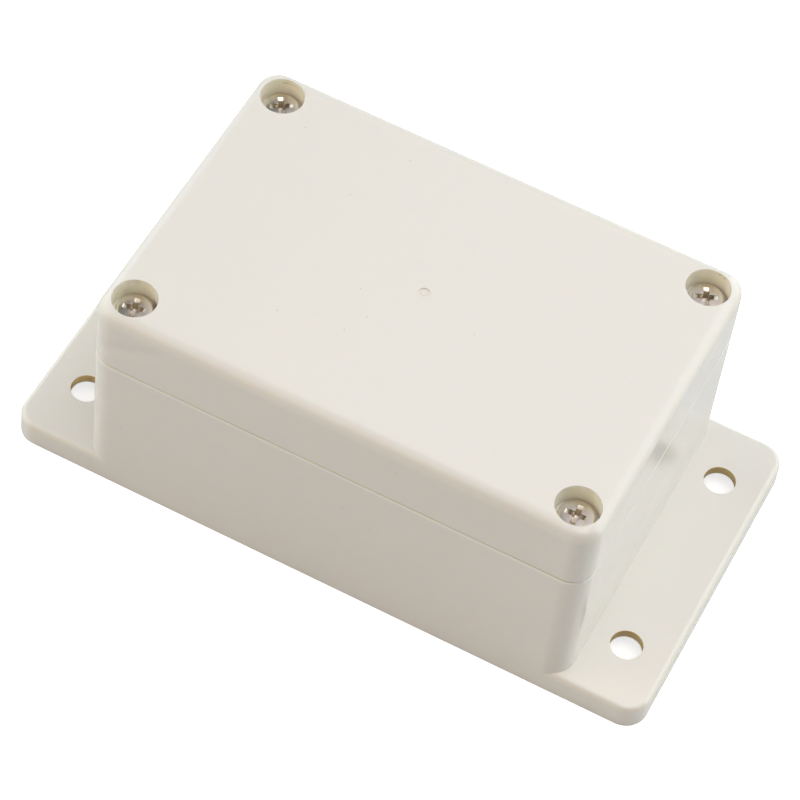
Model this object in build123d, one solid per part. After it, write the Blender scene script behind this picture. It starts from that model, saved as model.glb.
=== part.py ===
from build123d import *
import os
from math import radians, tan

# Flanged plastic project box with a sealed, screwed lid. Sizes are in millimetres.
# X runs along the box, Y across it and Z up, from the middle of the underside.

# Body, outside
BODY_LENGTH = 100.0
BODY_WIDTH = 68.0
BODY_HEIGHT = 49.5
SEAM_HEIGHT = 35.4
CORNER_RADIUS = 4.5
DRAFT = 0.25
RIM_ROUNDING = 0.5
LID_EDGE_RADIUS = 2.5
LID_RIM_ROUNDING = 0.25

# Base, inside
BASE_WALL = 3.0
BASE_FLOOR = 2.8
FLOOR_FILLET = 1.2

# Mounting flanges: hollow trays at the two ends
FLANGE_LENGTH = 131.5
FLANGE_HEIGHT = 5.5
FLANGE_CORNER_RADIUS = 4.5
FLANGE_EDGE_RADIUS = 1.1
FLANGE_PLATE = 2.0
FLANGE_SKIRT = 2.0
TRAY_CORNER_RADIUS = 3.0
TRAY_DRAFT = 1.0
FIXING_SPACING_X = 114.0
FIXING_SPACING_Y = 42.5
FIXING_DIAMETER = 6.2

# Lid
LID_TOP = 2.8
LID_WALL = 4.5
LID_FILLET = 1.2
SCREW_SPACING_X = 88.0
SCREW_SPACING_Y = 55.6
POCKET_DIAMETER = 8.5
POCKET_DEPTH = 4.6
LID_HOLE_DIAMETER = 4.2
GATE_DIAMETER = 2.3
GATE_DEPTH = 0.25
GATE_NIB_DIAMETER = 1.0
GATE_NIB_HEIGHT = 0.15

# Posts round the screws, and the seal that passes inside them
POST_RADIUS = 5.6
LID_POST_RADIUS = 6.7
POST_TURN_RADIUS = 1.5
SEAL_INSET = 2.4
SEAL_NOTCH_RADIUS = 4.6
SEAL_TURN_RADIUS = 1.6
TONGUE_WIDTH = 1.0
TONGUE_HEIGHT = 1.0
TONGUE_CHAMFER = 0.2
GROOVE_WIDTH = 1.8
GROOVE_DEPTH = 3.0
GASKET_WIDTH = 1.7
GASKET_CHAMFER = 0.3

# Screws
SHANK_DIAMETER = 3.9
SCREW_LENGTH = 18.0
SCREW_TIP_CHAMFER = 0.5
HEAD_DIAMETER = 6.8
HEAD_RIM_HEIGHT = 1.2
HEAD_HEIGHT = 1.9
HEAD_CROWN_DIAMETER = 5.8
HEAD_CROWN_HEIGHT = 1.75
RECESS_SPAN = 4.7
RECESS_STEP_SPAN = 3.1
RECESS_TIP_SPAN = 2.3
RECESS_WING = 1.05
RECESS_STEP_DEPTH = 0.45
RECESS_DEPTH = 2.0
RECESS_HUB_DIAMETER = 1.9
RECESS_HUB_TIP = 0.5
RECESS_TURNS = {
    "front_left": 12.5,
    "front_right": 2.0,
    "back_left": 34.5,
    "back_right": 23.0,
}

# Threaded inserts pressed into the posts
INSERT_DIAMETER = 6.0
INSERT_LENGTH = 8.0
INSERT_SUNK = 0.2
INSERT_BAND = 2.6
INSERT_NECK_DIAMETER = 5.4
INSERT_CHAMFER = 0.3
INSERT_BORE_DIAMETER = 4.0
INSERT_HOLE_DIAMETER = 5.9
RELIEF_DIAMETER = 4.4
RELIEF_DEPTH = 14.0

# Posts on the floor that a circuit board screws to
BOARD_SPACING_X = 66.0
BOARD_SPACING_Y = 44.0
BOARD_POST_DIAMETER = 6.0
BOARD_POST_HEIGHT = 5.0
BOARD_POST_FILLET = 0.6
BOARD_HOLE_DIAMETER = 2.5

LID_HEIGHT = BODY_HEIGHT - SEAM_HEIGHT
SEAT_HEIGHT = BODY_HEIGHT - POCKET_DEPTH
BASE_SPREAD = SEAM_HEIGHT * tan(radians(DRAFT))
SMALL = 0.01
STANDING = (Align.CENTER, Align.CENTER, Align.MIN)
HANGING = (Align.CENTER, Align.CENTER, Align.MAX)
CORNERS = {
    "front_left": (-1, -1),
    "front_right": (1, -1),
    "back_left": (-1, 1),
    "back_right": (1, 1),
}


def corner_places(spacing_x, spacing_y):
    """X and Y of the four corners of a rectangle about the middle."""
    return [(side_x * spacing_x / 2, side_y * spacing_y / 2) for side_x, side_y in CORNERS.values()]


def edges_at(shape, height):
    """Edges of the shape that lie flat at one height."""
    return shape.edges().filter_by_position(Axis.Z, height - SMALL, height + SMALL)


def notched_area(inset, notch_radius, turn_radius):
    """Flat area inside the walls, cut back in an arc round each screw."""
    area = Rectangle(BODY_LENGTH - 2 * inset, BODY_WIDTH - 2 * inset)
    for corner, (x, y) in zip(CORNERS.values(), corner_places(SCREW_SPACING_X, SCREW_SPACING_Y)):
        side_x, side_y = corner
        outward = Pos(x + side_x * notch_radius, y + side_y * notch_radius)
        area -= Pos(x, y) * Circle(notch_radius)
        area -= outward * Rectangle(2 * notch_radius, 2 * notch_radius)
    return fillet(area.vertices(), turn_radius)


def seal_ring(width):
    """Band of one width along the seal's line, inside the four screws."""
    middle = notched_area(SEAL_INSET, SEAL_NOTCH_RADIUS, SEAL_TURN_RADIUS)
    return offset(middle, width / 2) - offset(middle, -width / 2)


def make_body():
    """Solid outside of the base's body, drafted up to the seam."""
    outline = RectangleRounded(
        BODY_LENGTH + 2 * BASE_SPREAD,
        BODY_WIDTH + 2 * BASE_SPREAD,
        CORNER_RADIUS + BASE_SPREAD,
    )
    body = extrude(outline, amount=SEAM_HEIGHT, taper=DRAFT)
    return fillet(edges_at(body, SEAM_HEIGHT), RIM_ROUNDING)


def make_flange_plate():
    """Solid plate under both flanges, rounded at its corners and along its top edge."""
    outline = RectangleRounded(
        FLANGE_LENGTH,
        BODY_WIDTH + 2 * BASE_SPREAD,
        FLANGE_CORNER_RADIUS,
    )
    plate = extrude(outline, amount=FLANGE_HEIGHT, taper=DRAFT)
    return fillet(edges_at(plate, FLANGE_HEIGHT), FLANGE_EDGE_RADIUS)


def make_tray(side):
    """Hollow under one flange, open below."""
    inner = BODY_LENGTH / 2 + BASE_SPREAD
    length = FLANGE_LENGTH / 2 - FLANGE_SKIRT - inner
    width = BODY_WIDTH - 2 * FLANGE_SKIRT
    outline = RectangleRounded(length, width, TRAY_CORNER_RADIUS)
    tray = extrude(outline, amount=FLANGE_HEIGHT - FLANGE_PLATE, taper=TRAY_DRAFT)
    return Pos(side * (inner + length / 2), 0) * tray


def make_base_cavity():
    """Room inside the base, with drafted walls and a rounded floor edge."""
    area = Pos(0, 0, BASE_FLOOR) * notched_area(BASE_WALL, POST_RADIUS, POST_TURN_RADIUS)
    cavity = extrude(area, amount=SEAM_HEIGHT - BASE_FLOOR + SMALL, taper=-DRAFT)
    return fillet(edges_at(cavity, BASE_FLOOR), FLOOR_FILLET)


def make_tongue():
    """Tongue that stands on the base's rim and presses into the seal."""
    tongue = extrude(seal_ring(TONGUE_WIDTH), amount=TONGUE_HEIGHT)
    return Pos(0, 0, SEAM_HEIGHT) * chamfer(edges_at(tongue, TONGUE_HEIGHT), TONGUE_CHAMFER)


def add_board_posts(base):
    """The base with its four board posts, filleted into the floor and bored for screws."""
    places = corner_places(BOARD_SPACING_X, BOARD_SPACING_Y)
    radius = BOARD_POST_DIAMETER / 2
    for x, y in places:
        base += Pos(x, y, BASE_FLOOR) * Cylinder(radius, BOARD_POST_HEIGHT, align=STANDING)
    rings = edges_at(base, BASE_FLOOR).filter_by(GeomType.CIRCLE)
    feet = [ring for ring in rings if abs(ring.radius - radius) < SMALL]
    base = fillet(feet, BOARD_POST_FILLET)
    for x, y in places:
        top = Pos(x, y, BASE_FLOOR + BOARD_POST_HEIGHT)
        base -= top * Cylinder(BOARD_HOLE_DIAMETER / 2, BOARD_POST_HEIGHT, align=HANGING)
    return base


def make_base():
    """The base moulding: body, flanges, screw posts, board posts and the tongue."""
    base = make_body() + make_flange_plate()
    base -= make_base_cavity()
    base -= make_tray(-1)
    base -= make_tray(1)
    base = add_board_posts(base)
    for x, y in corner_places(FIXING_SPACING_X, FIXING_SPACING_Y):
        base -= Pos(x, y) * Cylinder(FIXING_DIAMETER / 2, FLANGE_HEIGHT, align=STANDING)
    base += make_tongue()
    for x, y in corner_places(SCREW_SPACING_X, SCREW_SPACING_Y):
        mouth = Pos(x, y, SEAM_HEIGHT)
        insert_depth = INSERT_SUNK + INSERT_LENGTH
        base -= mouth * Cylinder(INSERT_HOLE_DIAMETER / 2, insert_depth, align=HANGING)
        base -= mouth * Cylinder(RELIEF_DIAMETER / 2, RELIEF_DEPTH, align=HANGING)
    return base


def make_lid_room():
    """Room under the lid's top, with drafted walls and a rounded ceiling edge."""
    area = Pos(0, 0, SEAM_HEIGHT - SMALL) * notched_area(LID_WALL, LID_POST_RADIUS, POST_TURN_RADIUS)
    room = extrude(area, amount=LID_HEIGHT - LID_TOP + SMALL, taper=DRAFT)
    return fillet(edges_at(room, BODY_HEIGHT - LID_TOP), LID_FILLET)


def add_gate_mark(lid):
    """The lid with the small round mark that the mould's gate leaves in the middle."""
    dimple = Cylinder(GATE_DIAMETER / 2, GATE_DEPTH, align=HANGING)
    nib = Cylinder(GATE_NIB_DIAMETER / 2, GATE_NIB_HEIGHT, align=STANDING)
    return lid - Pos(0, 0, BODY_HEIGHT) * dimple + Pos(0, 0, BODY_HEIGHT - GATE_DEPTH) * nib


def make_lid():
    """The lid moulding: rounded cover, screw pockets, seal groove and gate mark."""
    outline = RectangleRounded(BODY_LENGTH, BODY_WIDTH, CORNER_RADIUS)
    lid = Pos(0, 0, SEAM_HEIGHT) * extrude(outline, amount=LID_HEIGHT, taper=DRAFT)
    lid = fillet(edges_at(lid, BODY_HEIGHT), LID_EDGE_RADIUS)
    lid = fillet(edges_at(lid, SEAM_HEIGHT), LID_RIM_ROUNDING)
    lid -= make_lid_room()
    lid -= Pos(0, 0, SEAM_HEIGHT) * extrude(seal_ring(GROOVE_WIDTH), amount=GROOVE_DEPTH)
    for x, y in corner_places(SCREW_SPACING_X, SCREW_SPACING_Y):
        mouth = Pos(x, y, BODY_HEIGHT)
        lid -= mouth * Cylinder(POCKET_DIAMETER / 2, POCKET_DEPTH, align=HANGING)
        lid -= mouth * Cylinder(LID_HOLE_DIAMETER / 2, LID_HEIGHT, align=HANGING)
    return add_gate_mark(lid)


def make_gasket():
    """Rubber seal that fills the lid's groove down to the tongue."""
    gasket = extrude(seal_ring(GASKET_WIDTH), amount=GROOVE_DEPTH - TONGUE_HEIGHT)
    gasket = chamfer(edges_at(gasket, 0), GASKET_CHAMFER)
    return Pos(0, 0, SEAM_HEIGHT + TONGUE_HEIGHT) * gasket


def make_recess():
    """Cross recess: two crossed wings, their ends sloped outwards above and steep below, and a hub."""
    floor = HEAD_HEIGHT - RECESS_DEPTH
    step = HEAD_HEIGHT - RECESS_STEP_DEPTH
    side = Polygon(
        (-RECESS_SPAN / 2, HEAD_HEIGHT),
        (-RECESS_STEP_SPAN / 2, step),
        (-RECESS_TIP_SPAN / 2, floor),
        (RECESS_TIP_SPAN / 2, floor),
        (RECESS_STEP_SPAN / 2, step),
        (RECESS_SPAN / 2, HEAD_HEIGHT),
        align=None,
    )
    wing = extrude(Plane.XZ * side, amount=RECESS_WING / 2, both=True)
    hub = Pos(0, 0, floor) * Cone(RECESS_HUB_TIP / 2, RECESS_HUB_DIAMETER / 2, RECESS_DEPTH, align=STANDING)
    return wing + Rot(0, 0, 90) * wing + hub


def make_head():
    """Pan head with a rounded shoulder and a low crown, its underside at zero."""
    rim = (HEAD_DIAMETER / 2, HEAD_RIM_HEIGHT)
    crown = (HEAD_CROWN_DIAMETER / 2, HEAD_CROWN_HEIGHT)
    top = (0, HEAD_HEIGHT)
    profile = Polyline(top, (0, 0), (HEAD_DIAMETER / 2, 0), rim)
    profile += TangentArc(rim, crown, tangent=(0, 1))
    profile += TangentArc(top, crown, tangent=(1, 0))
    return revolve(make_face(Plane.XZ * profile), Axis.Z)


def make_screw():
    """Pan head machine screw, standing with the underside of its head at zero."""
    shank = Cylinder(SHANK_DIAMETER / 2, SCREW_LENGTH, align=HANGING)
    shank = chamfer(edges_at(shank, -SCREW_LENGTH), SCREW_TIP_CHAMFER)
    return shank + make_head() - make_recess()


def make_insert():
    """Brass insert: two gripping bands, a neck between them and a through bore."""
    insert = Cylinder(INSERT_DIAMETER / 2, INSERT_LENGTH)
    insert = chamfer(insert.edges(), INSERT_CHAMFER)
    neck_length = INSERT_LENGTH - 2 * INSERT_BAND
    insert -= Cylinder(INSERT_DIAMETER, neck_length) - Cylinder(INSERT_NECK_DIAMETER / 2, neck_length)
    insert -= Cylinder(INSERT_BORE_DIAMETER / 2, INSERT_LENGTH)
    return Pos(0, 0, -INSERT_LENGTH / 2) * insert


def main():
    """Writes each piece to its own file."""
    pieces = {"base": make_base(), "lid": make_lid(), "gasket": make_gasket()}
    screw = make_screw()
    insert = make_insert()
    for corner, (x, y) in zip(CORNERS, corner_places(SCREW_SPACING_X, SCREW_SPACING_Y)):
        pieces["screw_" + corner] = Pos(x, y, SEAT_HEIGHT) * Rot(0, 0, RECESS_TURNS[corner]) * screw
        pieces["insert_" + corner] = Pos(x, y, SEAM_HEIGHT - INSERT_SUNK) * insert
    os.makedirs("parts", exist_ok=True)
    for name, piece in pieces.items():
        export_step(piece, "parts/" + name + ".step")


main()
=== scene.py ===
"""Dresses the flanged project box: its plastic, screws, brass inserts and rubber seal, and sets its stage."""

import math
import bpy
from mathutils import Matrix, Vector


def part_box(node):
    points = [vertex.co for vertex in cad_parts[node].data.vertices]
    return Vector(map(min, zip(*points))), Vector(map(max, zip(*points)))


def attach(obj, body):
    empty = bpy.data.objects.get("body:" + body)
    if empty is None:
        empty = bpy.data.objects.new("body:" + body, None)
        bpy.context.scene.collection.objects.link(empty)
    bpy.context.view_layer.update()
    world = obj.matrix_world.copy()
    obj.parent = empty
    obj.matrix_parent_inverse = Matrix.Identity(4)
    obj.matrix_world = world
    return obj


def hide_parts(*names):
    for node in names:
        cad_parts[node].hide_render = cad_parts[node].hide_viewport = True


bl_info = {
    "name": "Flanged project box",
    "version": (1, 0, 0),
    "blender": (4, 5, 0),
    "location": "View3D > Sidebar > Project box",
    "description": "Finishes, screws and studio for a sealed plastic project box",
    "category": "Object",
}

import bmesh
import bpy
from bpy.props import FloatProperty, FloatVectorProperty, IntProperty, PointerProperty
from mathutils import Euler, Matrix, Vector

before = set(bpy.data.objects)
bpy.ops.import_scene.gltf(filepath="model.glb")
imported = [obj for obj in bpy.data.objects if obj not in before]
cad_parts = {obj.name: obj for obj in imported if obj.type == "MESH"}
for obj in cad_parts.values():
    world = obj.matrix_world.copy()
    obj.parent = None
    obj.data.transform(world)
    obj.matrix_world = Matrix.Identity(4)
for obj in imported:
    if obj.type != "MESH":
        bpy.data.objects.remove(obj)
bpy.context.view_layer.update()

MM = 0.001
CORNERS = ("front_left", "front_right", "back_left", "back_right")
# How far each screw's cross is turned, in degrees
RECESS_TURNS = {"front_left": 12.5, "front_right": 2.0, "back_left": 34.5, "back_right": 23.0}
# Distance at which points of a mesh count as one
WELD = 0.0005 * MM
# The floor lies this far under the box, so that the two never share a plane
FLOOR_GAP = 0.02 * MM
WHITE = (1, 1, 1, 1)

# How far each mark takes the plastic to the mark's own colour
# The edge, rim and seam weights below set painted shade and highlight, and the dirt line is dirt with painted
# shade
FLANGE_EDGE_SHADE_WEIGHT = 0.3
RIM_HIGHLIGHT_WEIGHT = 0.9
SEAM_SHADE_WEIGHT = 0.8
DIRT_AND_SHADE_LINE_WEIGHT = 0.3
GRIME_WEIGHT = 0.45
PATCH_WEIGHT = 0.5
YELLOWING_WEIGHT = 0.1
SPECK_WEIGHT = 0.3
FAINT_SPECK_WEIGHT = 0.18


def node_middle(node):
    """Middle of a CAD node's box."""
    low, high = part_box(node)
    return (low + high) / 2


LID_LOW, LID_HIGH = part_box("lid")
BASE_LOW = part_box("base")[0]
SCREW_LOW, SCREW_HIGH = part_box("screw_back_right")
SCREW_PLACE = node_middle("screw_back_right")
HEAD_RADIUS = (SCREW_HIGH.x - SCREW_LOW.x) / 2

# The clearest dark specks in the plastic, in millimetres: eight on the lid, five in front, one at the end
SPECKS = (
    (-36.7, 23.3, 49.5), (-16.3, 26.3, 49.5), (-22.1, 13.3, 49.5), (-10.4, -5.1, 49.5),
    (-20.9, -17.1, 49.5), (-8.6, -14.8, 49.5), (-6.4, -10.1, 49.5), (11.9, -3.8, 49.5),
    (3.1, -34.1, 26.1), (8.8, -34.1, 23.6), (38.2, -34.0, 38.7), (-42.4, -34.1, 18.4),
    (12.1, -34.0, 43.7), (50.1, 15.8, 22.9),
)


class BoxMouldings(bpy.types.PropertyGroup):
    """Sizes and colours of the two mouldings' plastic."""

    colour: FloatVectorProperty(
        name="Plastic", description="Colour of the ivory plastic", subtype="COLOR",
        size=3, min=0, max=1, default=(0.870, 0.846, 0.790))
    # Painted warm shade along the rounded edges, not a colour of the plastic itself
    edge_shade_colour: FloatVectorProperty(
        name="Edges", description="Warmer colour along the rounded top edges", subtype="COLOR",
        size=3, min=0, max=1, default=(0.850, 0.805, 0.690))
    edge_weight: FloatProperty(
        name="Edge weight", description="How far the edges take their warmer colour",
        subtype="FACTOR", min=0, max=1, default=0.25)
    # Lighter colour painted as a highlight on the base's rim under the seam and as light on the pocket floors
    painted_light_colour: FloatVectorProperty(
        name="Base rim", description="Lighter colour of the base's rim under the seam", subtype="COLOR",
        size=3, min=0, max=1, default=(0.980, 0.965, 0.920))
    # Yellowish colour painted as shade in the groove between lid and base, on the front and back faces
    seam_shade_colour: FloatVectorProperty(
        name="Seam", description="Yellowed colour of the line between lid and base", subtype="COLOR",
        size=3, min=0, max=1, default=(0.710, 0.670, 0.260))
    # Warm colour painted as shade on the pocket walls
    pocket_shade_colour: FloatVectorProperty(
        name="Pockets", description="Deeper colour of the plastic inside the screw pockets", subtype="COLOR",
        size=3, min=0, max=1, default=(1.000, 0.965, 0.815))
    # Brown colour of the dirt, and of the painted shade along one side of the pocket floors
    grime_and_shade_colour: FloatVectorProperty(
        name="Grime", description="Colour of the brown dirt at the bottom of the pockets", subtype="COLOR",
        size=3, min=0, max=1, default=(0.270, 0.150, 0.085))
    # Side of each pocket where the brown dirt and painted shade lie
    dirt_and_shade_side: FloatProperty(
        name="Grime side", description="Side of each pocket that the dirt lies on, in degrees from the right",
        default=65)
    # Golden colour painted as shade inside the fixing holes
    fixing_shade_colour: FloatVectorProperty(
        name="Fixing holes", description="Golden colour inside the fixing holes", subtype="COLOR",
        size=3, min=0, max=1, default=(0.880, 0.700, 0.370))
    stain_colour: FloatVectorProperty(
        name="Scorch", description="Colour of the scorched marks on two pocket walls", subtype="COLOR",
        size=3, min=0, max=1, default=(0.420, 0.270, 0.080))
    speck_colour: FloatVectorProperty(
        name="Specks", description="Colour of the dark specks in the plastic", subtype="COLOR",
        size=3, min=0, max=1, default=(0.330, 0.290, 0.230))
    roughness: FloatProperty(
        name="Roughness", description="Roughness of the moulded surface",
        subtype="FACTOR", min=0, max=1, default=0.20)
    speck_spacing: FloatProperty(
        name="Speck spacing", description="Distance between specks inside the plastic",
        unit="LENGTH", precision=5, default=7.0 * MM)
    speck_radius: FloatProperty(
        name="Speck radius", description="Radius of the largest specks",
        unit="LENGTH", precision=5, default=0.14 * MM)
    grain_size: FloatProperty(
        name="Grain", description="Size of the fine grain left by the mould",
        unit="LENGTH", precision=5, default=0.35 * MM)
    grain_height: FloatProperty(
        name="Grain height", description="Height of the fine grain",
        unit="LENGTH", precision=7, default=0.0012 * MM)
    wave_size: FloatProperty(
        name="Waves", description="Size of the shallow waves in the flat faces",
        unit="LENGTH", precision=5, default=16.0 * MM)
    wave_height: FloatProperty(
        name="Wave height", description="Height of the shallow waves",
        unit="LENGTH", precision=7, default=0.012 * MM)
    sink_depth: FloatProperty(
        name="Sink mark", description="Depth of the shallow sink mark in the lid's front",
        unit="LENGTH", precision=6, default=0.20 * MM)
    pocket_radius: FloatProperty(
        name="Pocket radius", description="Radius of the pockets that the screw heads sit in",
        unit="LENGTH", precision=5, default=4.25 * MM)
    fixing_radius: FloatProperty(
        name="Fixing hole radius", description="Radius of the fixing holes",
        unit="LENGTH", precision=5, default=3.1 * MM)
    fixing_spacing: FloatVectorProperty(
        name="Fixing spacing", description="Distance between the fixing holes along and across",
        size=2, unit="LENGTH", precision=5, default=(114.0 * MM, 42.5 * MM))


class BoxScrews(bpy.types.PropertyGroup):
    """Sizes and colours of the four lid screws."""

    colour: FloatVectorProperty(
        name="Plating", description="Colour of the nickel plate", subtype="COLOR",
        size=3, min=0, max=1, default=(0.810, 0.770, 0.710))
    film_colour: FloatVectorProperty(
        name="Film", description="Colour of the tan film in patches on the plate", subtype="COLOR",
        size=3, min=0, max=1, default=(0.740, 0.660, 0.540))
    # Brown colour of the dirt and painted shade deep in the recess
    recess_dirt_and_shade_colour: FloatVectorProperty(
        name="Dirt", description="Colour of the brown film deep in the recess", subtype="COLOR",
        size=3, min=0, max=1, default=(0.500, 0.420, 0.310))
    roughness: FloatProperty(
        name="Roughness", description="Roughness of the plate",
        subtype="FACTOR", min=0, max=1, default=0.30)
    head_rim: FloatProperty(
        name="Rim height", description="Height of the head's upright rim",
        unit="LENGTH", precision=5, default=1.2 * MM)
    head_height: FloatProperty(
        name="Head height", description="Height of the head over its seat",
        unit="LENGTH", precision=5, default=1.9 * MM)
    crown_radius: FloatProperty(
        name="Crown radius", description="Radius at which the low crown starts",
        unit="LENGTH", precision=5, default=2.9 * MM)
    crown_height: FloatProperty(
        name="Crown start", description="Height at which the low crown starts",
        unit="LENGTH", precision=5, default=1.75 * MM)
    recess_span: FloatProperty(
        name="Recess span", description="Width of the cross from end to end at the top of the head",
        unit="LENGTH", precision=5, default=4.7 * MM)
    recess_tip_span: FloatProperty(
        name="Recess tip span", description="Width of the cross from end to end at its floor",
        unit="LENGTH", precision=5, default=2.3 * MM)
    recess_wing: FloatProperty(
        name="Recess wing", description="Width of one wing of the cross",
        unit="LENGTH", precision=5, default=1.05 * MM)
    recess_depth: FloatProperty(
        name="Recess depth", description="Depth of the wings",
        unit="LENGTH", precision=5, default=2.0 * MM)
    recess_step_span: FloatProperty(
        name="Recess step span", description="Width of the cross where its ends start to slope outwards",
        unit="LENGTH", precision=5, default=3.1 * MM)
    recess_step_depth: FloatProperty(
        name="Recess step depth", description="Depth at which the ends start to slope outwards",
        unit="LENGTH", precision=5, default=0.45 * MM)
    hub_radius: FloatProperty(
        name="Hub radius", description="Radius of the recess's round middle at the top of the head",
        unit="LENGTH", precision=5, default=0.95 * MM)
    hub_tip_radius: FloatProperty(
        name="Hub tip radius", description="Radius of the recess's round middle at its floor",
        unit="LENGTH", precision=5, default=0.25 * MM)
    punch_over: FloatProperty(
        name="Punch height", description="How far the recess's punch stands above the head",
        unit="LENGTH", precision=5, default=0.4 * MM)
    edge_round: FloatProperty(
        name="Edge rounding", description="Rounding of the recess's and head's edges",
        unit="LENGTH", precision=5, default=0.10 * MM)
    shank_length: FloatProperty(
        name="Shank length", description="Length under the head",
        unit="LENGTH", precision=5, default=18.0 * MM)
    thread_radius: FloatProperty(
        name="Thread radius", description="Radius over the thread's crests",
        unit="LENGTH", precision=5, default=1.95 * MM)
    thread_pitch: FloatProperty(
        name="Thread pitch", description="Distance from crest to crest",
        unit="LENGTH", precision=5, default=0.7 * MM)
    thread_depth: FloatProperty(
        name="Thread depth", description="Depth of the thread",
        unit="LENGTH", precision=5, default=0.40 * MM)
    turn_steps: IntProperty(
        name="Steps in a turn", description="Points in one turn of the head and the thread",
        min=16, default=64)


class BoxInside(bpy.types.PropertyGroup):
    """Colours of the seal and the threaded inserts."""

    seal_colour: FloatVectorProperty(
        name="Seal", description="Colour of the rubber seal", subtype="COLOR",
        size=3, min=0, max=1, default=(0.030, 0.030, 0.032))
    bloom_colour: FloatVectorProperty(
        name="Bloom", description="Colour of the faint bloom on the rubber", subtype="COLOR",
        size=3, min=0, max=1, default=(0.090, 0.090, 0.088))
    brass_colour: FloatVectorProperty(
        name="Brass", description="Colour of the threaded inserts", subtype="COLOR",
        size=3, min=0, max=1, default=(0.780, 0.560, 0.240))
    insert_pitch: FloatProperty(
        name="Insert pitch", description="Distance from crest to crest in the inserts' bores",
        unit="LENGTH", precision=5, default=0.7 * MM)
    insert_thread_depth: FloatProperty(
        name="Insert thread depth", description="Depth of the thread in the inserts' bores",
        unit="LENGTH", precision=5, default=0.2 * MM)


class BoxStage(bpy.types.PropertyGroup):
    """Floor, lamps and camera."""

    camera_place: FloatVectorProperty(
        name="Camera", description="Where the camera stands", subtype="TRANSLATION",
        size=3, unit="LENGTH", precision=5, default=(0.130437, -0.356510, 0.531545))
    camera_turn: FloatVectorProperty(
        name="Camera turn", description="How the camera is turned", subtype="EULER",
        size=3, default=(math.radians(36.08802), math.radians(-4.95009), math.radians(27.08637)))
    camera_lens: FloatProperty(
        name="Lens", description="Focal length on a sensor 36 mm wide",
        min=1, default=153.455)
    floor_colour: FloatVectorProperty(
        name="Floor", description="Colour of the floor", subtype="COLOR",
        size=3, min=0, max=1, default=(0.80, 0.795, 0.785))
    floor_mottle_colour: FloatVectorProperty(
        name="Floor mottle", description="Colour of the floor's faint paler patches", subtype="COLOR",
        size=3, min=0, max=1, default=(0.82, 0.815, 0.805))
    floor_radius: FloatProperty(
        name="Floor radius", description="Radius of the round floor",
        unit="LENGTH", default=2.0)
    floor_glow: FloatProperty(
        name="Floor glow", description="Light that the floor adds where the camera sees it",
        min=0, default=0.72)
    sky_light: FloatProperty(
        name="Sky light", description="Light that comes evenly from all round",
        min=0, default=0.01)
    sky_colour: FloatVectorProperty(
        name="Sky", description="Colour of the light from all round", subtype="COLOR",
        size=3, min=0, max=1, default=(1.0, 0.95, 0.90))


class Value:
    """A number that varies over a surface. Arithmetic on it adds Math nodes."""

    def __init__(self, finish, socket):
        self.finish = finish
        self.socket = socket

    def __add__(self, other):
        return self.finish.math("ADD", self, other)

    __radd__ = __add__

    def __sub__(self, other):
        return self.finish.math("SUBTRACT", self, other)

    def __rsub__(self, other):
        return self.finish.math("SUBTRACT", other, self)

    def __mul__(self, other):
        return self.finish.math("MULTIPLY", self, other)

    __rmul__ = __mul__

    def __truediv__(self, other):
        return self.finish.math("DIVIDE", self, other)

    def __pow__(self, other):
        return self.finish.math("POWER", self, other)

    def __abs__(self):
        return self.finish.math("ABSOLUTE", self)

    def rise(self, low, high):
        """0 below low and 1 above high, with a smooth step between. With low above high it falls."""
        node = self.finish.node(
            "ShaderNodeMapRange",
            {"interpolation_type": "SMOOTHSTEP"},
            {"Value": self, "From Min": low, "From Max": high},
        )
        return Value(self.finish, node.outputs["Result"])


class Nodes:
    """A shader node tree and the ways to add to it."""

    def __init__(self, tree):
        self.tree = tree

    def node(self, kind, settings=None, sockets=None):
        """A new node, with its settings made first and then its sockets given values or links."""
        node = self.tree.nodes.new(kind)
        for name, value in (settings or {}).items():
            setattr(node, name, value)
        for socket, value in (sockets or {}).items():
            self.feed(node.inputs[socket], value)
        return node

    def feed(self, socket, value):
        """Links a socket to what varies, or sets it to a constant."""
        if isinstance(value, Value):
            value = value.socket
        if isinstance(value, bpy.types.NodeSocket):
            self.tree.links.new(value, socket)
        else:
            socket.default_value = value

    def math(self, operation, *values):
        """A Math node on numbers and values."""
        node = self.node("ShaderNodeMath", {"operation": operation}, dict(enumerate(values)))
        return Value(self, node.outputs[0])


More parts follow.
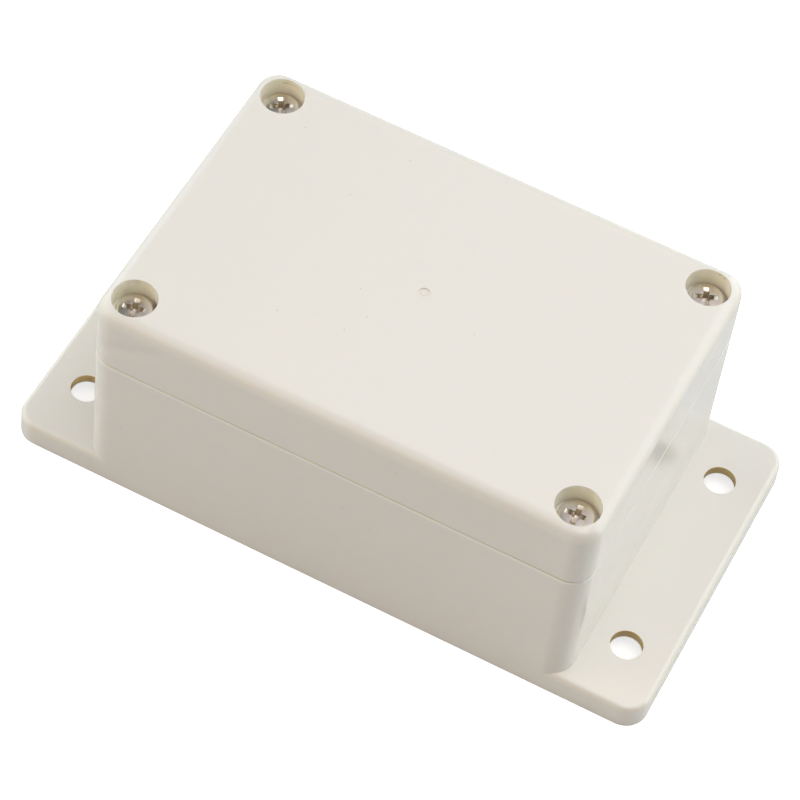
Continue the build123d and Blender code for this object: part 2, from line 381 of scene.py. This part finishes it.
class Finish(Nodes):
    """One material, with the nodes that feed its surface shader."""

    def __init__(self, name, constants):
        self.material = bpy.data.materials.new(name)
        self.material.use_nodes = True
        super().__init__(self.material.node_tree)
        self.surface = self.tree.nodes["Principled BSDF"]
        self.output = self.tree.nodes["Material Output"]
        for socket, value in constants.items():
            self.surface.inputs[socket].default_value = value

    def coordinate(self, kind):
        """Three values: the place on the piece, or the way its surface faces."""
        source = self.node("ShaderNodeTexCoord").outputs[kind]
        parts = self.node("ShaderNodeSeparateXYZ", None, {"Vector": source})
        return [Value(self, parts.outputs[axis]) for axis in "XYZ"]

    def length(self, x, y):
        """Distance from an axis, given the two distances along and across."""
        return (x * x + y * y) ** 0.5

    def noise(self, size, detail=2.0, warp=0.0):
        """Smooth noise between 0 and 1 with bumps of about one size."""
        place = self.node("ShaderNodeTexCoord").outputs["Object"]
        node = self.node(
            "ShaderNodeTexNoise",
            None,
            {"Vector": place, "Scale": 1 / size, "Detail": detail, "Distortion": warp},
        )
        return Value(self, node.outputs[0])

    def tint(self, mask, colour, other):
        """Colour where the mask is 0 and the other where it is 1."""
        sockets = {0: mask, 6: solid(colour), 7: solid(other)}
        return self.node("ShaderNodeMix", {"data_type": "RGBA"}, sockets).outputs[2]

    def shade(self, colour, factor):
        """Colour made lighter or darker by a factor that varies."""
        grey = self.node("ShaderNodeCombineXYZ", None, {0: factor, 1: factor, 2: factor})
        node = self.node("ShaderNodeVectorMath", {"operation": "MULTIPLY"}, {0: colour, 1: grey.outputs[0]})
        return node.outputs[0]

    def base_colour(self, colour):
        """Gives the surface a colour that varies."""
        self.feed(self.surface.inputs["Base Color"], colour)

    def roughness(self, value):
        """Gives the surface a roughness that varies."""
        self.feed(self.surface.inputs["Roughness"], value)

    def bump(self, height, distance):
        """Makes the surface follow a height between 0 and 1, this many metres from low to high."""
        earlier = self.surface.inputs["Normal"].links
        sockets = {"Height": height, "Distance": distance, "Strength": 1.0}
        if earlier:
            sockets["Normal"] = earlier[0].from_socket
        node = self.node("ShaderNodeBump", None, sockets)
        self.feed(self.surface.inputs["Normal"], node.outputs[0])


def solid(colour):
    """A colour as the four numbers that a socket takes, or a link as it is."""
    if isinstance(colour, bpy.types.NodeSocket):
        return colour
    return (*colour, 1.0)


def band(value, middle, edge, core):
    """1 where a value is within core of the middle, falling to 0 at the edge."""
    return abs(value - middle).rise(low=edge, high=core)


def within_bore(reach, radius):
    """1 where a distance from a bore's axis is at its wall or less, and 0 just past it."""
    return reach.rise(low=radius + 0.06 * MM, high=radius + 0.01 * MM)


def round_pocket(finish, corner):
    """Azimuth in degrees about one pocket's axis, depth under the lid's top, and a mask near the pocket."""
    x, y, z = finish.coordinate("Object")
    middle = node_middle("screw_" + corner)
    azimuth = finish.math("ARCTAN2", y - middle.y, x - middle.x) * math.degrees(1)
    near = finish.length(x - middle.x, y - middle.y).rise(low=5 * MM, high=4.5 * MM)
    return azimuth, LID_HIGH.z - z, near


def scorched_patch(finish):
    """A yellow patch under the rim of the pocket at the back right."""
    azimuth, depth, near = round_pocket(finish, "back_right")
    across = band(azimuth, middle=75, edge=16, core=6)
    down = band(depth, middle=0.55 * MM, edge=0.5 * MM, core=0.1 * MM)
    return near * across * down


def scorched_line(finish):
    """A brown line round the wall of the back left pocket, dipping at its right end, and yellow above it."""
    azimuth, depth, near = round_pocket(finish, "back_left")
    level = 1.0 * MM
    dip = 0.85 * MM
    dip_azimuth = 54
    dip_spread = 14
    path = level + finish.math("EXPONENT", (dip_azimuth - azimuth) / dip_spread) * dip
    right_end = azimuth.rise(low=46, high=52)
    left_end = azimuth.rise(low=120, high=114)
    strength = 0.30 + azimuth.rise(low=95, high=112) * 0.25
    line = band(depth, middle=path, edge=0.22 * MM, core=0.04 * MM) * strength
    above = depth.rise(low=path, high=path - 0.4 * MM)
    yellowed = above * azimuth.rise(low=122, high=105) * azimuth.rise(low=20, high=45)
    return near * (right_end * left_end * line + yellowed * YELLOWING_WEIGHT)


def grime(finish):
    """Brown dirt in the gap beside one head, at the bottom of the pocket at the front left."""
    azimuth, depth, near = round_pocket(finish, "front_left")
    return near * band(azimuth, middle=42, edge=30, core=12) * depth.rise(low=2.7 * MM, high=3.5 * MM)


def sink_mark(finish):
    """A shallow hollow in the lid's front, by the left pocket: 1 along its middle and 0 outside it."""
    x, y, z = finish.coordinate("Object")
    left = -42 * MM
    height = 42.2 * MM
    climb = 0.42
    across = band(z, middle=height + (x - left) * climb, edge=3 * MM, core=0)
    along = band(x, middle=-41 * MM, edge=10 * MM, core=4 * MM)
    on_front = y.rise(low=-31.5 * MM, high=-33.5 * MM)
    return along * on_front * across


def specks(finish, mouldings):
    """Dark specks in the plastic: the clearest where they are on the box, and fainter ones at random."""
    place = finish.node("ShaderNodeTexCoord").outputs["Object"]
    nearest = None
    for spot in SPECKS:
        ends = {0: place, 1: Vector(spot) * MM}
        apart = finish.node("ShaderNodeVectorMath", {"operation": "DISTANCE"}, ends)
        distance = Value(finish, apart.outputs["Value"])
        nearest = finish.math("MINIMUM", nearest, distance) if nearest else distance
    radius = mouldings.speck_radius
    clear = nearest.rise(low=radius * 1.8, high=radius * 0.4)
    spacing = mouldings.speck_spacing
    cells = finish.node("ShaderNodeTexVoronoi", None, {"Vector": place, "Scale": 1 / spacing})
    faint = (Value(finish, cells.outputs["Distance"]) * spacing).rise(low=radius, high=radius * 0.3)
    return clear * SPECK_WEIGHT + faint * FAINT_SPECK_WEIGHT


def paint_warm_edge_shade(finish, mouldings, colour):
    """Painted warm shade along the rounded edges, those of the flanges most."""
    facing_up = finish.coordinate("Normal")[2]
    rounded = (facing_up * (1 - facing_up) * 4).rise(low=0.25, high=1.0)
    on_flange = finish.coordinate("Object")[2].rise(low=9 * MM, high=6 * MM)
    weight = mouldings.edge_weight + on_flange * FLANGE_EDGE_SHADE_WEIGHT
    return finish.tint(rounded * weight, colour, mouldings.edge_shade_colour)


def paint_seam_highlight_and_shade(finish, mouldings, colour):
    """A painted highlight on the base's rim under the seam, and painted yellowish shade in the seam's groove
    in front and behind.
    """
    x, y, z = finish.coordinate("Object")
    past_lid = finish.math("MAXIMUM", abs(x) - LID_HIGH.x, abs(y) - LID_HIGH.y)
    outside = past_lid.rise(low=-1 * MM, high=-0.8 * MM)
    below = LID_LOW.z - z
    # Painted highlight along the base's rounded rim under the seam
    rim = below.rise(low=0.95 * MM, high=0.55 * MM) * below.rise(low=0.1 * MM, high=0.3 * MM)
    colour = finish.tint(outside * rim * RIM_HIGHLIGHT_WEIGHT, colour, mouldings.painted_light_colour)
    # Painted shade in the seam's groove, only on faces that look to the front or back
    facing_y = finish.coordinate("Normal")[1]
    line = band(z, middle=LID_LOW.z, edge=0.28 * MM, core=0.12 * MM) * abs(facing_y)
    return finish.tint(outside * line * SEAM_SHADE_WEIGHT, colour, mouldings.seam_shade_colour)


def paint_pocket_light_and_shade(finish, mouldings, colour):
    """Painted warm shade on the pocket walls and painted light on their floors, with brown dirt and painted
    shade along one side of their floors.
    """
    x, y, z = finish.coordinate("Object")
    from_x = x - finish.math("SIGN", x) * abs(SCREW_PLACE.x)
    from_y = y - finish.math("SIGN", y) * abs(SCREW_PLACE.y)
    reach = finish.length(from_x, from_y)
    in_lid = z.rise(low=LID_LOW.z, high=LID_LOW.z + 1 * MM)
    below_top = z.rise(low=LID_HIGH.z, high=LID_HIGH.z - 0.12 * MM)
    in_pocket = within_bore(reach, mouldings.pocket_radius) * in_lid * below_top
    # Pocket floors take the painted light colour, and pocket walls the painted warm shade
    on_wall = finish.coordinate("Normal")[2].rise(low=0.6, high=0.3)
    inside = finish.tint(on_wall, mouldings.painted_light_colour, mouldings.pocket_shade_colour)
    colour = finish.tint(in_pocket, colour, inside)
    # Brown dirt and painted shade in the gap along one side of each pocket floor, with dirt alone in one
    # pocket
    turn = math.radians(mouldings.dirt_and_shade_side)
    sideways = (from_x * math.cos(turn) + from_y * math.sin(turn)) / reach
    near_floor = (LID_HIGH.z - z).rise(low=3.5 * MM, high=4.1 * MM)
    dirt = near_floor * sideways.rise(low=-0.2, high=0.5) * DIRT_AND_SHADE_LINE_WEIGHT + grime(finish) * GRIME_WEIGHT
    return finish.tint(in_pocket * dirt, colour, mouldings.grime_and_shade_colour)


def paint_fixing_hole_shade(finish, mouldings, colour):
    """Painted golden shade inside the fixing holes."""
    x, y = finish.coordinate("Object")[:2]
    along, across = mouldings.fixing_spacing
    reach = finish.length(abs(x) - along / 2, abs(y) - across / 2)
    return finish.tint(within_bore(reach, mouldings.fixing_radius), colour, mouldings.fixing_shade_colour)


def moulded_plastic(mouldings):
    """Satin ivory plastic with faint specks, with painted warm shade along its edges, in its pockets and
    inside its holes.
    """
    finish = Finish("ivory_plastic", {
        "IOR": 1.52,
        "Subsurface Weight": 0.25,
        "Subsurface Radius": (1.0, 0.8, 0.5),
        "Subsurface Scale": 1.5 * MM,
    })
    clouds = finish.noise(28 * MM, detail=3.0)
    streaks = finish.noise(4 * MM, detail=4.0, warp=0.6)
    colour = mouldings.colour
    # These lay painted shade on the edges, a painted highlight and shade at the seam, painted light and shade
    # in the pockets and painted shade in the fixing holes
    for paint in (paint_warm_edge_shade, paint_seam_highlight_and_shade, paint_pocket_light_and_shade, paint_fixing_hole_shade):
        colour = paint(finish, mouldings, colour)
    colour = finish.tint(specks(finish, mouldings), colour, mouldings.speck_colour)
    patch = scorched_patch(finish) * streaks.rise(low=0.35, high=0.55) * PATCH_WEIGHT
    colour = finish.tint(patch + scorched_line(finish), colour, mouldings.stain_colour)
    finish.base_colour(finish.shade(colour, 0.985 + clouds * 0.02 + streaks * 0.008))
    finish.roughness((mouldings.roughness - 0.04) + clouds * 0.06 + streaks * 0.04)
    finish.bump(1 - sink_mark(finish), mouldings.sink_depth)
    finish.bump(finish.noise(mouldings.wave_size, detail=1.0), mouldings.wave_height)
    finish.bump(finish.noise(mouldings.grain_size, detail=2.0), mouldings.grain_height)
    return finish.material


def nickel_plate(screws):
    """Nickel plate with a tan film in patches, fine turning rings, and brown dirt with painted shade deep in
    the recess.
    """
    finish = Finish("nickel_plate", {"Metallic": 1.0})
    x, y, z = finish.coordinate("Object")
    reach = finish.length(x, y)
    mottle = finish.noise(0.9 * MM, detail=4.0)
    wear = finish.noise(0.25 * MM, detail=3.0)
    recess_floor = screws.head_height - screws.recess_depth
    recess_reach = screws.recess_span / 2
    depth = z.rise(low=screws.crown_height - 0.25 * MM, high=recess_floor)
    in_recess = reach.rise(low=recess_reach + 0.1 * MM, high=recess_reach - 0.1 * MM)
    above_seat = z.rise(low=0, high=0.05 * MM)
    # Brown dirt and painted shade, darker towards the recess's floor
    dirt = in_recess * above_seat * depth * (0.55 + mottle * 0.6)
    film = finish.noise(2.2 * MM, detail=3.0).rise(low=0.35, high=0.7)
    colour = finish.tint(film, screws.colour, screws.film_colour)
    colour = finish.tint(dirt, colour, screws.recess_dirt_and_shade_colour)
    finish.base_colour(finish.shade(colour, 0.9 + mottle * 0.2))
    finish.roughness((screws.roughness - 0.06) + mottle * 0.12 + wear * 0.06)
    ring_spacing = 0.16 * MM
    ring_height = 0.0006 * MM
    wear_height = 0.004 * MM
    rings = finish.math("SINE", reach * (2 * math.pi / ring_spacing))
    finish.bump(rings * 0.5 + 0.5, ring_height)
    finish.bump(wear, wear_height)
    return finish.material


def turned_brass(inside):
    """Turned brass with a thread cut in the bore."""
    finish = Finish("turned_brass", {"Metallic": 1.0})
    x, y, z = finish.coordinate("Object")
    tarnish = finish.noise(1.5 * MM, detail=4.0)
    finish.base_colour(finish.shade(inside.brass_colour, 0.8 + tarnish * 0.35))
    finish.roughness(0.24 + tarnish * 0.16)
    angle = finish.math("ARCTAN2", abs(y) - abs(SCREW_PLACE.y), abs(x) - abs(SCREW_PLACE.x))
    turns = finish.math("FRACT", z / inside.insert_pitch + angle * (0.5 / math.pi))
    finish.bump(abs(turns * 2 - 1), inside.insert_thread_depth)
    return finish.material


def seal_rubber(inside):
    """Matt black rubber with a fine open skin and a faint grey bloom."""
    finish = Finish("seal_rubber", {"IOR": 1.5, "Specular IOR Level": 0.35})
    pores = finish.noise(0.3 * MM, detail=4.0)
    bloom = finish.noise(6 * MM, detail=3.0)
    pore_depth = 0.03 * MM
    finish.base_colour(finish.tint(bloom * 0.35, inside.seal_colour, inside.bloom_colour))
    finish.roughness(0.62 + pores * 0.2)
    finish.bump(pores, pore_depth)
    return finish.material


def dress(node, material):
    """Gives a CAD node its material."""
    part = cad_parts[node]
    part.data.materials.clear()
    part.data.materials.append(material)


def new_object(name, mesh, context):
    """A new object in the scene."""
    piece = bpy.data.objects.new(name, mesh)
    context.scene.collection.objects.link(piece)
    return piece


def ring_points(radius, height, steps):
    """Places round the axis at one radius and height."""
    turns = [2 * math.pi * step / steps for step in range(steps)]
    return [(radius * math.cos(turn), radius * math.sin(turn), height) for turn in turns]


def ring_of(bm, radius, height, steps):
    """Points of a mesh round the axis at one radius and height."""
    return [bm.verts.new(place) for place in ring_points(radius, height, steps)]


def bridge(bm, lower, upper):
    """Faces between two rings with as many points."""
    count = len(lower)
    for here in range(count):
        there = (here + 1) % count
        bm.faces.new((lower[here], lower[there], upper[there], upper[here]))


def arc_points(start, end, start_slope, steps):
    """Points of the arc that leaves start at a slope and ends at end, without its start."""
    chord = Vector(end) - Vector(start)
    lean = math.atan2(chord.y, chord.x) - start_slope
    points = []
    for step in range(1, steps + 1):
        part = step / steps
        reach = math.sin(lean * part) / math.sin(lean) * chord.length
        angle = start_slope + lean * part
        points.append((start[0] + reach * math.cos(angle), start[1] + reach * math.sin(angle)))
    return points


def head_profile(screws):
    """Radius and height of the head's outline, from the shank out over the rim to the crown's top."""
    small = screws.edge_round
    core = screws.thread_radius - screws.thread_depth
    rim = (HEAD_RADIUS, screws.head_rim)
    crown = (screws.crown_radius, screws.crown_height)
    profile = [(core, 0), (HEAD_RADIUS - small, 0)]
    profile += arc_points((HEAD_RADIUS - small, 0), (HEAD_RADIUS, small), start_slope=0, steps=3)
    profile.append(rim)
    profile += arc_points(rim, crown, start_slope=math.pi / 2, steps=8)
    dome = screws.head_height - screws.crown_height
    dome_rings = (0.85, 0.7, 0.5, 0.3, 0.1)
    for part in dome_rings:
        profile.append((crown[0] * part, crown[1] + dome * (1 - part * part)))
    return profile


def thread_radius_at(screws, part, height):
    """Radius of the thread, part of a pitch past its root, cut down at the tip and under the head."""
    crest = screws.thread_radius
    root = crest - screws.thread_depth
    flat = 0.12
    tip_chamfer = 0.55 * MM
    run_out_slope = 0.8
    rise = min(1, max(0, (0.5 - abs(part - 0.5)) * 2 - flat) / (1 - 2 * flat))
    radius = root + (crest - root) * rise
    from_tip = height + screws.shank_length
    radius = min(radius, crest - tip_chamfer + from_tip)
    if height > -screws.thread_pitch:
        radius = max(min(radius, root - height * run_out_slope), root)
    return radius


def add_thread(bm, screws):
    """A threaded shank from the tip up to the head's underside."""
    steps = screws.turn_steps
    rows = 8
    pitch = screws.thread_pitch
    tip = -screws.shank_length
    start = tip - pitch * 1.2
    turns = math.ceil(screws.shank_length / pitch) + 2
    columns = []
    for step in range(turns * steps + 1):
        angle = 2 * math.pi * step / steps
        column = []
        for row in range(rows):
            part = row / rows
            height = min(0, max(tip, start + pitch * (step / steps + part)))
            radius = thread_radius_at(screws, part, height)
            column.append(bm.verts.new((radius * math.cos(angle), radius * math.sin(angle), height)))
        columns.append(column)
    for step in range(turns * steps):
        here = columns[step]
        there = columns[step + 1]
        for row in range(rows - 1):
            bm.faces.new((here[row], there[row], there[row + 1], here[row + 1]))
        if step + steps + 1 < len(columns):
            above = columns[step + steps]
            beyond = columns[step + steps + 1]
            bm.faces.new((here[-1], there[-1], beyond[0], above[0]))


def screw_blank(screws):
    """The screw before its recess is struck: threaded shank and pan head in one skin."""
    bm = bmesh.new()
    steps = screws.turn_steps
    add_thread(bm, screws)
    rings = [ring_of(bm, radius, height, steps) for radius, height in head_profile(screws)]
    for lower, upper in zip(rings, rings[1:]):
        bridge(bm, lower, upper)
    top = bm.verts.new((0, 0, screws.head_height))
    for here in range(steps):
        bm.faces.new((rings[-1][here], rings[-1][(here + 1) % steps], top))
    bmesh.ops.remove_doubles(bm, verts=bm.verts, dist=WELD)
    bmesh.ops.dissolve_degenerate(bm, edges=bm.edges, dist=WELD)
    bmesh.ops.holes_fill(bm, edges=bm.edges, sides=0)
    bmesh.ops.recalc_face_normals(bm, faces=bm.faces)
    mesh = bpy.data.meshes.new("screw_blank")
    bm.to_mesh(mesh)
    bm.free()
    return mesh


def closed_skin(name, rings):
    """A closed skin over rings with as many points, given from the lowest up."""
    bm = bmesh.new()
    loops = [[bm.verts.new(point) for point in ring] for ring in rings]
    for lower, upper in zip(loops, loops[1:]):
        bridge(bm, lower, upper)
    bm.faces.new(loops[-1])
    bm.faces.new(list(reversed(loops[0])))
    bmesh.ops.recalc_face_normals(bm, faces=bm.faces)
    mesh = bpy.data.meshes.new(name)
    bm.to_mesh(mesh)
    bm.free()
    return mesh


def wing_punch(screws, turn):
    """A punch for one pair of wings, turned about the axis, with ends that slope outwards near the top."""
    spin = Matrix.Rotation(turn, 3, "Z")
    half = screws.recess_wing / 2
    top = screws.head_height
    slope = (screws.recess_span - screws.recess_step_span) / 2 / screws.recess_step_depth
    steps = (
        (screws.recess_tip_span / 2, top - screws.recess_depth),
        (screws.recess_step_span / 2, top - screws.recess_step_depth),
        (screws.recess_span / 2 + slope * screws.punch_over, top + screws.punch_over),
    )
    rings = []
    for reach, height in steps:
        corners = ((-reach, -half), (reach, -half), (reach, half), (-reach, half))
        rings.append([spin @ Vector((*corner, height)) for corner in corners])
    return closed_skin("wing_punch", rings)


def hub_punch(screws):
    """A punch for the recess's round middle."""
    steps = screws.turn_steps // 2
    slope = (screws.hub_radius - screws.hub_tip_radius) / screws.recess_depth
    upper_radius = screws.hub_radius + slope * screws.punch_over
    lower = ring_points(screws.hub_tip_radius, screws.head_height - screws.recess_depth, steps)
    upper = ring_points(upper_radius, screws.head_height + screws.punch_over, steps)
    return closed_skin("hub_punch", [lower, upper])


def strike(context, blank, punches, screws):
    """Cuts the punches out of the blank, softens the sharp edges and returns the final mesh."""
    piece = new_object("screw_strike", blank, context)
    tools = [new_object("punch", punch, context) for punch in punches]
    for tool in tools:
        cut = piece.modifiers.new("recess", "BOOLEAN")
        cut.operation = "DIFFERENCE"
        cut.solver = "EXACT"
        cut.object = tool
    soften = piece.modifiers.new("soften", "BEVEL")
    soften.width = screws.edge_round
    soften.segments = 2
    soften.limit_method = "ANGLE"
    soften.angle_limit = math.radians(40)
    soften.use_clamp_overlap = True
    context.view_layer.update()
    mesh = bpy.data.meshes.new_from_object(piece.evaluated_get(context.evaluated_depsgraph_get()))
    for spare in [piece, *tools]:
        bpy.data.objects.remove(spare)
    mesh.shade_smooth()
    mesh.set_sharp_from_angle(angle=math.radians(32))
    return mesh


class BOX_OT_mouldings(bpy.types.Operator):
    """Gives the base and the lid their moulded plastic"""

    bl_idname = "project_box.mouldings"
    bl_label = "Base and lid"

    def execute(self, context):
        plastic = moulded_plastic(context.scene.box_mouldings)
        dress("base", plastic)
        dress("lid", plastic)
        return {"FINISHED"}


class BOX_OT_seal(bpy.types.Operator):
    """Gives the seal its rubber"""

    bl_idname = "project_box.seal"
    bl_label = "Seal"

    def execute(self, context):
        dress("gasket", seal_rubber(context.scene.box_inside))
        return {"FINISHED"}


class BOX_OT_inserts(bpy.types.Operator):
    """Gives the threaded inserts their brass"""

    bl_idname = "project_box.inserts"
    bl_label = "Inserts"

    def execute(self, context):
        brass = turned_brass(context.scene.box_inside)
        for corner in CORNERS:
            dress("insert_" + corner, brass)
        return {"FINISHED"}


class BOX_OT_screws(bpy.types.Operator):
    """Makes the four lid screws, threaded and with a struck cross recess"""

    bl_idname = "project_box.screws"
    bl_label = "Lid screws"

    def execute(self, context):
        screws = context.scene.box_screws
        punches = [wing_punch(screws, 0), wing_punch(screws, math.pi / 2), hub_punch(screws)]
        mesh = strike(context, screw_blank(screws), punches, screws)
        if not mesh.polygons:
            raise RuntimeError("the screw came out empty")
        mesh.materials.append(nickel_plate(screws))
        for corner in CORNERS:
            node = "screw_" + corner
            low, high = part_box(node)
            seat = Vector(((low.x + high.x) / 2, (low.y + high.y) / 2, low.z + screws.shank_length))
            piece = new_object("lid_" + node, mesh.copy(), context)
            piece.location = seat
            piece.rotation_euler.z = math.radians(RECESS_TURNS[corner])
            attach(piece, node)
            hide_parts(node)
        return {"FINISHED"}


def floor_finish(stage):
    """Pale floor that the camera sees a little brighter than it is, so that it's white beside the shadow."""
    finish = Finish("pale_floor", {"Roughness": 0.7, "Specular IOR Level": 0.2})
    mottle = finish.noise(0.4, detail=2.0)
    finish.base_colour(finish.tint(mottle * 0.1, stage.floor_colour, stage.floor_mottle_colour))
    lit = finish.surface.outputs[0]
    glow = finish.node("ShaderNodeEmission", None, {"Color": WHITE, "Strength": stage.floor_glow})
    both = finish.node("ShaderNodeAddShader", None, {0: lit, 1: glow.outputs[0]})
    ray = finish.node("ShaderNodeLightPath")
    sides = {0: ray.outputs["Is Camera Ray"], 1: lit, 2: both.outputs[0]}
    seen = finish.node("ShaderNodeMixShader", None, sides)
    finish.feed(finish.output.inputs["Surface"], seen.outputs[0])
    return finish.material


def add_floor(context, stage):
    """A round floor under the box."""
    bm = bmesh.new()
    bm.faces.new(ring_of(bm, stage.floor_radius, height=0, steps=96))
    mesh = bpy.data.meshes.new("floor")
    bm.to_mesh(mesh)
    bm.free()
    mesh.materials.append(floor_finish(stage))
    floor = new_object("floor", mesh, context)
    floor.location.z = BASE_LOW.z - FLOOR_GAP


def add_world(context, stage):
    """An even soft light from all round, white where the camera sees it."""
    world = bpy.data.worlds.new("studio")
    context.scene.world = world
    world.use_nodes = True
    nodes = Nodes(world.node_tree)
    lit = nodes.tree.nodes["Background"]
    nodes.feed(lit.inputs["Color"], solid(stage.sky_colour))
    nodes.feed(lit.inputs["Strength"], stage.sky_light)
    white = nodes.node("ShaderNodeBackground", None, {"Color": WHITE, "Strength": 1.0})
    ray = nodes.node("ShaderNodeLightPath")
    sides = {0: ray.outputs["Is Camera Ray"], 1: lit.outputs[0], 2: white.outputs[0]}
    seen = nodes.node("ShaderNodeMixShader", None, sides)
    nodes.feed(nodes.tree.nodes["World Output"].inputs["Surface"], seen.outputs[0])


# Azimuths count from the front to the right and heights from the floor, in degrees. Powers are in watts.
LAMP_AWAY = 1.1
LAMPS = {
    "overhead": {"azimuth": 56, "height": 72, "size": 0.7, "power": 4.3, "colour": (0.97, 0.95, 0.95)},
    "above_back": {"azimuth": 170, "height": 65, "size": 0.8, "power": 1.35, "colour": (1.0, 0.94, 0.99)},
    "back_right": {"azimuth": 140, "height": 14, "size": 1.6, "power": 16.9, "colour": (0.96, 1.0, 0.99)},
    "front_left": {"azimuth": -45, "height": 40, "size": 1.1, "power": 4.1, "colour": (1.0, 0.79, 0.60)},
    "left": {"azimuth": -90, "height": 14, "size": 1.6, "power": 13.0, "colour": (0.78, 0.92, 1.0)},
}


def add_lamp(context, name, lamp):
    """A square soft lamp that looks at the box from an azimuth, counted from the front to the right."""
    azimuth = math.radians(lamp["azimuth"])
    height = math.radians(lamp["height"])
    flat = math.cos(height) * LAMP_AWAY
    place = Vector((math.sin(azimuth) * flat, -math.cos(azimuth) * flat, math.sin(height) * LAMP_AWAY))
    data = bpy.data.lights.new(name, "AREA")
    data.shape = "SQUARE"
    data.size = lamp["size"]
    data.energy = lamp["power"]
    data.color = lamp["colour"]
    light = new_object(name, data, context)
    light.location = place
    light.rotation_euler = (-place).to_track_quat("-Z", "Y").to_euler()


def add_camera(context, stage):
    """The camera, where the photograph was taken from."""
    data = bpy.data.cameras.new("camera")
    data.sensor_width = 36
    data.lens = stage.camera_lens
    data.clip_start = 0.01
    camera = new_object("camera", data, context)
    camera.location = stage.camera_place
    camera.rotation_euler = Euler(stage.camera_turn)
    context.scene.camera = camera


class BOX_OT_stage(bpy.types.Operator):
    """Makes the floor, the soft lamps, the sky and the camera"""

    bl_idname = "project_box.stage"
    bl_label = "Stage"

    def execute(self, context):
        stage = context.scene.box_stage
        add_floor(context, stage)
        add_world(context, stage)
        for name, lamp in LAMPS.items():
            add_lamp(context, name, lamp)
        add_camera(context, stage)
        context.scene.view_settings.view_transform = "Standard"
        return {"FINISHED"}


OPERATORS = (BOX_OT_mouldings, BOX_OT_seal, BOX_OT_inserts, BOX_OT_screws, BOX_OT_stage)
GROUPS = {
    "box_mouldings": BoxMouldings,
    "box_screws": BoxScrews,
    "box_inside": BoxInside,
    "box_stage": BoxStage,
}


class BOX_PT_panel(bpy.types.Panel):
    """Lists the pieces of the box, each with its button"""

    bl_idname = "BOX_PT_panel"
    bl_label = "Project box"
    bl_space_type = "VIEW_3D"
    bl_region_type = "UI"
    bl_category = "Project box"

    def draw(self, context):
        for operator in OPERATORS:
            self.layout.operator(operator.bl_idname)
        for group in GROUPS:
            settings = getattr(context.scene, group)
            box = self.layout.box()
            for name in settings.bl_rna.properties.keys():
                if name not in ("rna_type", "name"):
                    box.prop(settings, name)


def register():
    """Registers the settings, the operators and the panel."""
    for name, group in GROUPS.items():
        bpy.utils.register_class(group)
        setattr(bpy.types.Scene, name, PointerProperty(type=group))
    for item in (*OPERATORS, BOX_PT_panel):
        bpy.utils.register_class(item)


def unregister():
    """Takes back what register did."""
    for item in (BOX_PT_panel, *reversed(OPERATORS)):
        bpy.utils.unregister_class(item)
    for name, group in reversed(GROUPS.items()):
        delattr(bpy.types.Scene, name)
        bpy.utils.unregister_class(group)


def main():
    """Makes every piece and the stage."""
    register()
    bpy.ops.project_box.stage()
    bpy.ops.project_box.mouldings()
    bpy.ops.project_box.seal()
    bpy.ops.project_box.inserts()
    bpy.ops.project_box.screws()


if __name__ == "__main__":
    main()
